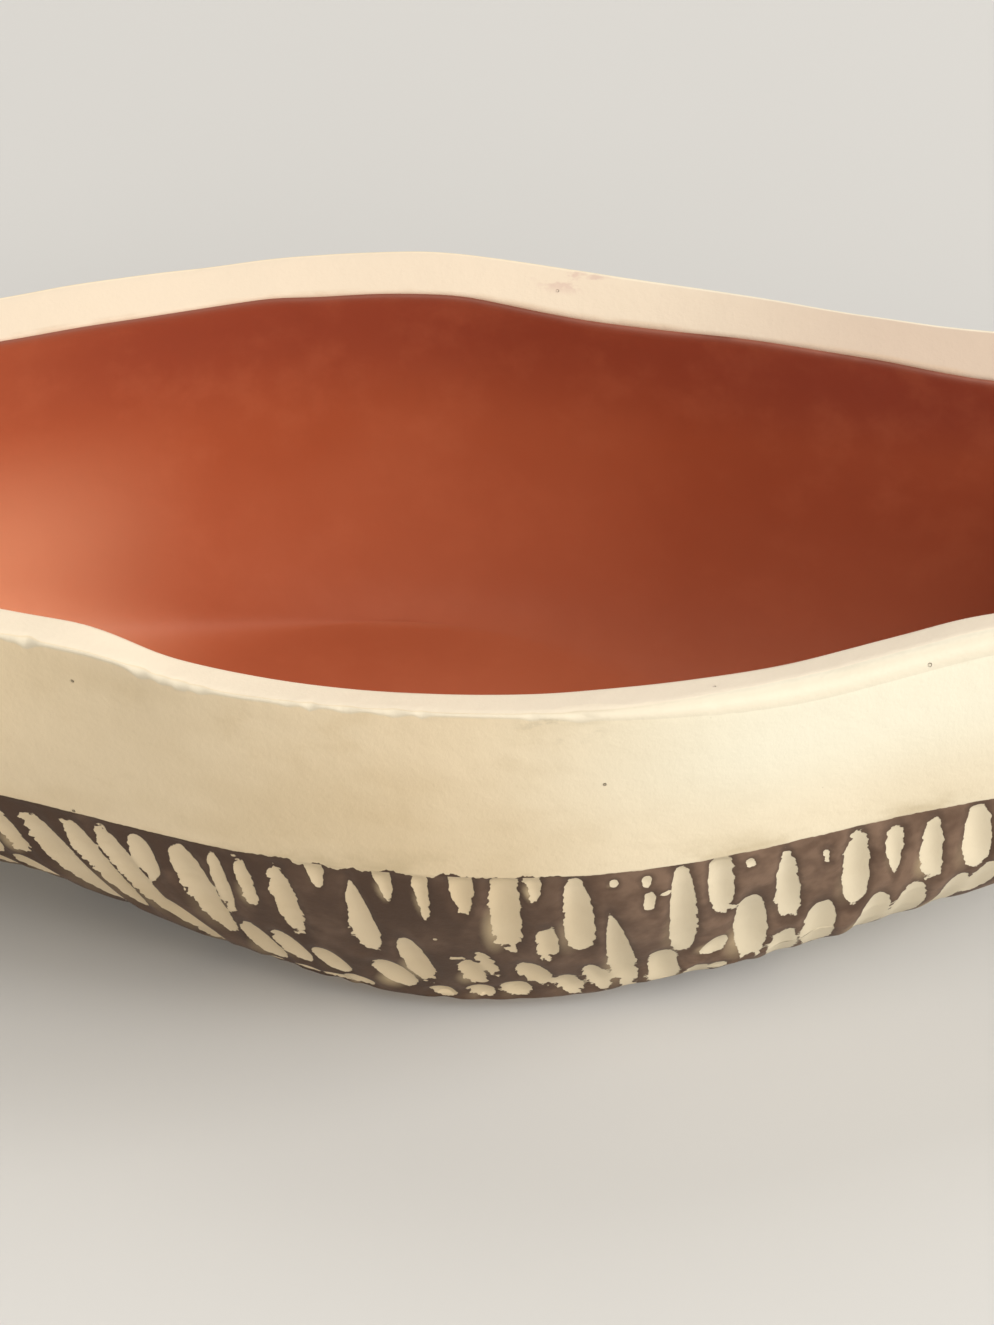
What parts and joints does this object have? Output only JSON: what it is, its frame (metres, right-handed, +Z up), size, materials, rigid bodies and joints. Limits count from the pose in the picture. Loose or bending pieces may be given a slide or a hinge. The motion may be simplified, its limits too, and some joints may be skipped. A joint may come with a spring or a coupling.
{
  "type": "jardiniere",
  "caption": "Long, low boat-shaped planter bowl with a waving outline, a thick rim sloping inward, a plain wall, a gouged dark band over the hull and a low oval foot.",
  "frame": {"origin": "on the ground under the middle of the bowl", "axes": "+X along the bowl's length, +Y across it, +Z up"},
  "size_m": [0.319, 0.1294, 0.0797],
  "materials": {
    "cream_clay": "satin matt",
    "red_glaze": "soft satin",
    "brown_slip": "matt"
  },
  "bodies": {
    "root": {"clay_body": "cream_clay", "red_inner_glaze": "red_glaze", "brown_slip_band": "brown_slip"}
  },
  "joints": []
}
